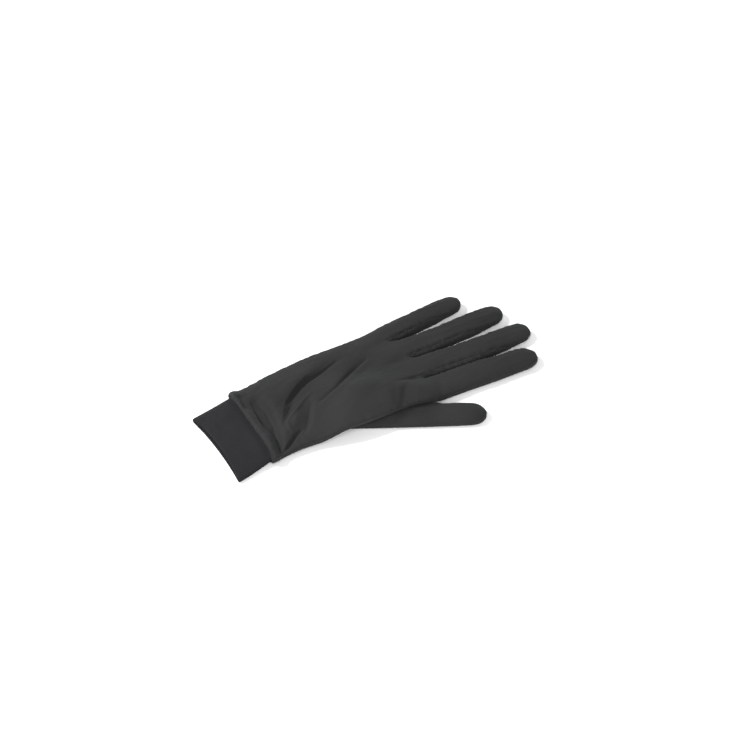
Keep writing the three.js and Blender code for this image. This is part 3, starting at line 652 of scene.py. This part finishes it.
def close_finger_roots(piece):
    """The fingers of limp cloth touch each other near their roots."""
    co = points_of(piece.data)
    low, high = GAP_Y
    for near_x, far_x, near_half, far_half, until in FINGER_GAPS:
        share = np.clip((co[:, 1] - low) / (high - low), -0.3, 1)
        middle = near_x + (far_x - near_x) * share
        half = near_half + (far_half - near_half) * share
        off = co[:, 0] - middle
        apart = smooth_step(until + LETTING_GO[0], until + LETTING_GO[1], co[:, 1])
        closing = (half - CLOSED_HALF) * (1 - apart)
        closing *= smooth_step(*ROOT_Y, co[:, 1])
        reach = bell(np.clip(np.abs(off) - half, 0, None), CLOSING_WIDTH)
        near = np.abs(off) < half + CLOSING_LIMIT
        co[:, 0] -= np.where(near, np.sign(off) * closing * reach, 0)
    put_points(piece.data, co)


def rest_on_surface(piece):
    """Nothing reaches below the surface that the glove lies on."""
    co = points_of(piece.data)
    co[:, 2] = np.maximum(co[:, 2], LOWEST)
    put_points(piece.data, co)


def split_around(piece, tube, longest):
    """Halves the edges that run round a tube, mm."""
    bm = bmesh.new()
    bm.from_mesh(piece.data)
    around, along, _ = tube.place(np.array([v.co for v in bm.verts]) / MM)
    bm.verts.index_update()
    long_ones = []
    for edge in bm.edges:
        i, j = (v.index for v in edge.verts)
        step = abs(around[i] - around[j])
        step = min(step, tube.girth - step)
        if step > longest and step > abs(along[i] - along[j]):
            long_ones.append(edge)
    bmesh.ops.subdivide_edges(bm, edges=long_ones, cuts=1, use_grid_fill=True)
    bm.to_mesh(piece.data)
    bm.free()


def dress(piece, material, node):
    """Gives a finished piece its material and its place in the part."""
    piece.data.materials.clear()
    piece.data.materials.append(material)
    pick(piece)
    bpy.ops.object.shade_smooth()
    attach(piece, "root")
    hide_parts(node)


# Finishes


def linear(hex_colour):
    """sRGB hex to the linear colour that shaders use."""
    channels = [int(hex_colour[i:i + 2], 16) / 255 for i in (1, 3, 5)]
    return [c / 12.92 if c <= 0.04045 else ((c + 0.055) / 1.055) ** 2.4 for c in channels] + [1]


def add(tree, kind, links=(), **settings):
    """Adds a node, its settings, and its inputs as values or links."""
    node = tree.nodes.new(kind)
    for key, value in settings.items():
        setattr(node, key, value)
    for socket, source in dict(links).items():
        if isinstance(source, bpy.types.NodeSocket):
            tree.links.new(source, node.inputs[socket])
        else:
            node.inputs[socket].default_value = source
    return node


def math_node(tree, operation, a, b=0.0, c=0.0):
    return add(tree, "ShaderNodeMath", {0: a, 1: b, 2: c}, operation=operation).outputs[0]


def knit_material(name, colours, wale, course, relief, roughness, sheen):
    """A knit: columns of V-shaped stitches on the UV map, which is in millimetres.

    colours: of the cloth and of its lighter patches, sRGB hex. wale and course: width of a column
    and height of a stitch, mm. relief: height of the bump, mm.
    """
    material = bpy.data.materials.new(name)
    material.use_nodes = True
    tree = material.node_tree
    tree.nodes.clear()
    uv = add(tree, "ShaderNodeUVMap").outputs[0]
    place = add(tree, "ShaderNodeSeparateXYZ", {0: uv}).outputs
    coords = add(tree, "ShaderNodeTexCoord").outputs["Object"]
    column = math_node(tree, "DIVIDE", place[0], wale)
    row = math_node(tree, "DIVIDE", place[1], course)
    # 0 in the middle of a column of stitches, 1 in the furrow between two columns
    off = math_node(tree, "ABSOLUTE", math_node(
        tree, "SUBTRACT", math_node(tree, "MULTIPLY", math_node(tree, "FRACT", column), 2.0), 1.0))
    body = math_node(tree, "SUBTRACT", 1.0, math_node(tree, "POWER", off, COLUMN_ROUNDNESS))
    slant = math_node(tree, "MULTIPLY_ADD", off, STITCH_SLANT, row)
    wave = math_node(tree, "SINE", math_node(tree, "MULTIPLY", slant, 2 * math.pi))
    loop = math_node(tree, "MULTIPLY_ADD", wave, STITCH_HEIGHT, body)
    fuzz = add(tree, "ShaderNodeTexNoise", {"Vector": coords, "Scale": 900.0, "Detail": 3.0})
    height = math_node(tree, "MULTIPLY_ADD", fuzz.outputs["Fac"], FUZZ_HEIGHT, loop)
    bump = add(tree, "ShaderNodeBump", {"Height": height, "Strength": 0.75,
                                        "Distance": relief * MM})
    patch = add(tree, "ShaderNodeTexNoise", {"Vector": coords, "Scale": 22.0, "Detail": 4.0})
    spread = add(tree, "ShaderNodeMapRange", {"Value": patch.outputs["Fac"], "From Min": 0.35,
                                              "From Max": 0.65, "To Min": 0.0, "To Max": 1.0})
    tone = add(tree, "ShaderNodeMix", {0: spread.outputs[0], "A": linear(colours[0]),
                                       "B": linear(colours[1])}, data_type="RGBA")
    # painted shade and highlight: the cloth's colour is darkened in the furrows between columns of
    # stitches and lightened towards their crests, following the stitch height
    furrow = math_node(tree, "MULTIPLY_ADD", loop, COLUMN_PAINTED_LIGHT, FURROW_PAINTED_SHADE)
    shade = add(tree, "ShaderNodeMix", {0: 1.0, "A": tone.outputs["Result"]},
                data_type="RGBA", blend_type="MULTIPLY")
    painted_shade_grey = add(tree, "ShaderNodeCombineColor", {0: furrow, 1: furrow, 2: furrow}).outputs[0]
    tree.links.new(painted_shade_grey, shade.inputs["B"])
    surface = add(tree, "ShaderNodeBsdfPrincipled", {
        "Base Color": shade.outputs["Result"], "Roughness": roughness, "IOR": 1.5,
        "Specular IOR Level": 0.25, "Sheen Weight": sheen, "Sheen Roughness": 0.5,
        "Sheen Tint": linear(SHEEN_TINT), "Normal": bump.outputs[0]})
    add(tree, "ShaderNodeOutputMaterial", {0: surface.outputs[0]})
    return material


def paper_material():
    """Seamless paper, matt and almost white."""
    material = bpy.data.materials.new("seamless_paper")
    material.use_nodes = True
    surface = material.node_tree.nodes["Principled BSDF"]
    surface.inputs["Base Color"].default_value = linear(PAPER)
    surface.inputs["Roughness"].default_value = 0.9
    surface.inputs["Specular IOR Level"].default_value = 0.1
    return material


# Sizes and colours that a user would change


class ClothSizes(bpy.types.PropertyGroup):
    cloth_mm: bpy.props.FloatProperty(
        name="Cloth", description="Thickness of the knitted cloth, in millimetres", default=0.7)
    groove_depth_mm: bpy.props.FloatProperty(
        name="Seam depth", description="How far the cloth dips into a seam, in millimetres",
        default=0.5)
    groove_width_mm: bpy.props.FloatProperty(
        name="Seam width", description="Half width of the dip at a seam, in millimetres",
        default=0.8)
    shoulder_mm: bpy.props.FloatProperty(
        name="Shoulder", description="Rise of the cloth beside a seam, in millimetres",
        default=0.28)
    pucker_mm: bpy.props.FloatProperty(
        name="Puckers", description="Height of the puckers along a seam, in millimetres",
        default=0.42)
    pucker_reach_mm: bpy.props.FloatProperty(
        name="Pucker reach", description="How far puckers run from a seam, in millimetres",
        default=3.0)
    drag_mm: bpy.props.FloatProperty(
        name="Drag lines", description="Height of the drag lines on the hand, in millimetres",
        default=0.24)
    finger_wave_mm: bpy.props.FloatProperty(
        name="Finger waves", description="Height of the waves along the fingers, in millimetres",
        default=0.34)
    pimple_mm: bpy.props.FloatProperty(
        name="Unevenness", description="Height of the cloth's small unevenness, in millimetres",
        default=0.03)
    root_bulge_mm: bpy.props.FloatProperty(
        name="Root bulge",
        description="Bulge of the index finger's root over the thumb, in millimetres", default=3.0)
    press_mm: bpy.props.FloatProperty(
        name="Thumb pressed up",
        description="How far the thumb rises to the hand's edge, in millimetres", default=2.4)
    gather_mm: bpy.props.FloatProperty(
        name="Gathers", description="Height of the gathers at the cuff's seam, in millimetres",
        default=0.3)


class CuffSizes(bpy.types.PropertyGroup):
    rib_mm: bpy.props.FloatProperty(
        name="Rib", description="Distance from one rib to the next, in millimetres", default=1.3)
    relief_mm: bpy.props.FloatProperty(
        name="Relief", description="Height of a rib, in millimetres", default=0.16)
    fold_mm: bpy.props.FloatProperty(
        name="Fold", description="Width of the fold at the mouth, in millimetres", default=2.2)
    fold_swell_mm: bpy.props.FloatProperty(
        name="Fold swell", description="How much thicker the fold is than the wall, in millimetres",
        default=0.5)
    lip_sink_mm: bpy.props.FloatProperty(
        name="Lip", description="How far the upper lip sinks towards the lower one, in millimetres",
        default=0.7)


class Colours(bpy.types.PropertyGroup):
    cloth: bpy.props.StringProperty(
        name="Cloth", description="Colour of the knitted cloth, sRGB hex", default="#1A1B1A")
    cloth_worn: bpy.props.StringProperty(
        name="Cloth, worn", description="Colour of its lighter patches, sRGB hex",
        default="#202120")
    rib: bpy.props.StringProperty(
        name="Rib", description="Colour of the rib cuff, sRGB hex", default="#131315")
    rib_worn: bpy.props.StringProperty(
        name="Rib, worn", description="Colour of its lighter patches, sRGB hex", default="#18181B")


# Operators


class LINER_OT_hand(bpy.types.Operator):
    """Cut the back, the palm and the fourchettes out of their solids, sew and wrinkle them"""

    bl_idname = "liner.hand"
    bl_label = "Hand"

    def execute(self, context):
        sizes = context.scene.liner_cloth
        colours = context.scene.liner_colours
        around = cloth_around([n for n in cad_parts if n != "thumb"])
        pieces = []
        for node in PANELS:
            bm = node_bmesh(node)
            keep_outer_side(bm, around)
            as_quads(bm)
            pieces.append(new_piece(node + "_cloth", bm))
        meet_at_seams(pieces)
        for piece in pieces:
            lay_flat(piece, mirrored=piece.name.startswith("palm"))
            refine(piece, PANEL_EDGE)
        seams = Seams(pieces)
        for piece in pieces:
            split_near(piece, seams.distance, SEAM_BAND, SEAM_EDGE)
            if piece.name.startswith("back"):
                split_near(piece, fold_distance, FOLD_BAND, FOLD_EDGE)
        seams = Seams(pieces)
        for piece in pieces:
            sew(piece, seams, sizes)
            wrinkle(piece, seams, sizes)
            tuck_roll(piece)
            close_finger_roots(piece)
            rest_on_surface(piece)
        # Polyester jersey, circular knitted and dyed charcoal: matt, with a faint sheen across the
        # wales. The real pitch of 0.6 mm is finer than the render shows, so it is drawn at 0.9 mm.
        jersey = knit_material(
            "charcoal_jersey_knit", (colours.cloth, colours.cloth_worn), JERSEY_WALE_MM,
            JERSEY_COURSE_MM, relief=0.10, roughness=0.82, sheen=0.12)
        for piece, node in zip(pieces, PANELS):
            apply_modifier(
                piece, "SOLIDIFY", thickness=sizes.cloth_mm * MM, offset=-1.0, use_rim=True,
                use_even_offset=False, use_quality_normals=True)
            rest_on_surface(piece)
            dress(piece, jersey, node)
        return {"FINISHED"}


def press_to_hand(co, normal, most):
    """Height that brings the thumb's upper side to the hand's edge that lies on it, mm."""
    palm = bpy.data.objects["palm_panel_cloth"].data
    above = BVHTree.FromPolygons(
        [v.co for v in palm.vertices], [p.vertices for p in palm.polygons])
    along, side = co[:, 1], co[:, 0] - PRESS_LEAN * (co[:, 1] - PRESS_LEAN_Y)
    lift = most * smooth_step(*PRESS_ROOT_Y, along) * (1 - smooth_step(*PRESS_SLIT_Y, along))
    lift *= 1 - smooth_step(*PRESS_SIDE_X, side)
    lift *= smooth_step(0.1, 0.7, normal[:, 2])
    for i in np.flatnonzero(lift > 0.05):
        hit, _, _, distance = above.ray_cast(Vector(co[i] * MM), Vector((0, 0, 1)))
        if hit is not None:
            lift[i] = min(lift[i], max(distance / MM - PRESS_AIR, 0))
    return lift


class LINER_OT_thumb(bpy.types.Operator):
    """Smooth and wrinkle the set-in thumb"""

    bl_idname = "liner.thumb"
    bl_label = "Thumb"

    def execute(self, context):
        sizes = context.scene.liner_cloth
        bm = node_bmesh("thumb")
        as_quads(bm)
        piece = new_piece("thumb_cloth", bm)
        refine(piece, THUMB_EDGE)
        co = points_of(piece.data)
        normal = normals_of(piece.data)
        lift = sizes.finger_wave_mm * waves("thumb_waves", co)
        co += normal * (lift * free_share(normal))[:, None]
        co[:, 2] += press_to_hand(co, normal, sizes.press_mm)
        put_points(piece.data, co)
        rest_on_surface(piece)
        tube = TubeMap(points_of(piece.data), THUMB_TURN, THUMB_HALVES, JERSEY_WALE_MM)
        tube.write_uv(piece.data)
        dress(piece, bpy.data.materials["charcoal_jersey_knit"], "thumb")
        return {"FINISHED"}


class LINER_OT_cuff(bpy.types.Operator):
    """Model the rib cuff, its ribs and its folded mouth"""

    bl_idname = "liner.cuff"
    bl_label = "Cuff"

    def execute(self, context):
        sizes = context.scene.liner_cuff
        colours = context.scene.liner_colours
        bm = node_bmesh("cuff")
        as_quads(bm)
        piece = new_piece("cuff_rib", bm)
        refine(piece, CUFF_EDGE)
        tube = TubeMap(points_of(piece.data), 0.0, CUFF_HALVES, sizes.rib_mm)
        for _ in range(2):
            split_around(piece, tube, sizes.rib_mm / RIB_STEPS)
        co = points_of(piece.data)
        normal = normals_of(piece.data)
        around, along, off = tube.place(co)
        # the folded mouth is fatter than the wall, and its upper lip sinks towards the lower one
        from_mouth = along - along.min()
        mouth = bell(from_mouth, sizes.fold_mm)
        inner = smooth_step(0.2, -0.2, normal[:, 0] * off[0] + normal[:, 2] * off[1])
        co += normal * (mouth * (MOUTH_SWELL + sizes.fold_swell_mm * inner))[:, None]
        sink = bell(from_mouth, LIP_REACH) * smooth_step(-0.4, 0.6, off[1])
        co[:, 2] -= sizes.lip_sink_mm * sink
        # the ribs are lower where the cuff lies on the surface
        rib = np.cos(2 * math.pi * around / sizes.rib_mm)
        free = smooth_step(-0.98, -0.9, normal[:, 2])
        co += normal * (0.5 * sizes.relief_mm * rib * (0.3 + 0.7 * free))[:, None]
        slack = SLACK * waves("cuff_slack", co) * smooth_step(-0.3, 0.6, normal[:, 2])
        co += normal * slack[:, None]
        # the seam to the back draws the cuff's upper wall in under the roll
        co[:, 2] -= DRAWN_DOWN * smooth_step(*DRAWN_Y, along) * smooth_step(0.1, 0.6, off[1])
        put_points(piece.data, co)
        rest_on_surface(piece)
        tube.write_uv(piece.data)
        # Rib knit of polyester with elastane, a tone bluer than the jersey. Its ribs are shaped, so
        # the material adds the stitches alone.
        rib_knit = knit_material(
            "charcoal_rib_knit", (colours.rib, colours.rib_worn), sizes.rib_mm, RIB_COURSE_MM,
            relief=0.08, roughness=0.85, sheen=0.1)
        dress(piece, rib_knit, "cuff")
        return {"FINISHED"}


class LINER_OT_stage(bpy.types.Operator):
    """Lay the paper, hang the soft lights and set the camera"""

    bl_idname = "liner.stage"
    bl_label = "Stage"

    def execute(self, context):
        clean_selection()
        bpy.ops.mesh.primitive_plane_add(size=8.0, location=(0, 0, -0.05 * MM))
        floor = bpy.context.object
        floor.name = "paper_floor"
        floor.data.materials.append(paper_material())
        world = bpy.data.worlds.new("soft_daylight")
        context.scene.world = world
        world.use_nodes = True
        daylight = world.node_tree.nodes["Background"]
        daylight.inputs["Color"].default_value = (1, 1, 1, 1)
        daylight.inputs["Strength"].default_value = DAYLIGHT
        for name, place, size, power in LAMPS:
            lamp = bpy.data.lights.new(name, "AREA")
            lamp.shape = "DISK"
            lamp.size = size
            lamp.energy = power
            light = bpy.data.objects.new(name, lamp)
            light.location = place
            light.rotation_euler = (-Vector(place)).to_track_quat("-Z", "Y").to_euler()
            context.scene.collection.objects.link(light)
        camera = bpy.data.objects.new("camera", bpy.data.cameras.new("camera"))
        context.scene.collection.objects.link(camera)
        away = Vector(CAMERA_WAY)
        camera.location = Vector(CAMERA_AIM) + CAMERA_DISTANCE * away
        camera.rotation_euler = (-away).to_track_quat("-Z", "Y").to_euler()
        camera.data.sensor_width = CAMERA_SENSOR_MM
        camera.data.lens = CAMERA_LENS_MM
        camera.data.shift_x, camera.data.shift_y = CAMERA_SHIFT
        context.scene.camera = camera
        context.scene.view_settings.view_transform = "Standard"
        return {"FINISHED"}


class LINER_PT_panel(bpy.types.Panel):
    """Builds the glove liner piece by piece"""

    bl_idname = "LINER_PT_panel"
    bl_label = "Glove liner"
    bl_space_type = "VIEW_3D"
    bl_region_type = "UI"
    bl_category = "Glove liner"

    def draw(self, context):
        for group in ("liner_cloth", "liner_cuff", "liner_colours"):
            box = self.layout.box()
            settings = getattr(context.scene, group)
            for key in settings.__annotations__:
                box.prop(settings, key)
        for operator in OPERATORS:
            self.layout.operator(operator.bl_idname)


OPERATORS = (LINER_OT_hand, LINER_OT_thumb, LINER_OT_cuff, LINER_OT_stage)
CLASSES = (ClothSizes, CuffSizes, Colours) + OPERATORS + (LINER_PT_panel,)


def register():
    for cls in CLASSES:
        bpy.utils.register_class(cls)
    bpy.types.Scene.liner_cloth = bpy.props.PointerProperty(type=ClothSizes)
    bpy.types.Scene.liner_cuff = bpy.props.PointerProperty(type=CuffSizes)
    bpy.types.Scene.liner_colours = bpy.props.PointerProperty(type=Colours)


def unregister():
    for key in ("liner_cloth", "liner_cuff", "liner_colours"):
        delattr(bpy.types.Scene, key)
    for cls in reversed(CLASSES):
        bpy.utils.unregister_class(cls)


def main():
    register()
    bpy.ops.liner.hand()
    bpy.ops.liner.thumb()
    bpy.ops.liner.cuff()
    bpy.ops.liner.stage()


if __name__ == "__main__":
    main()
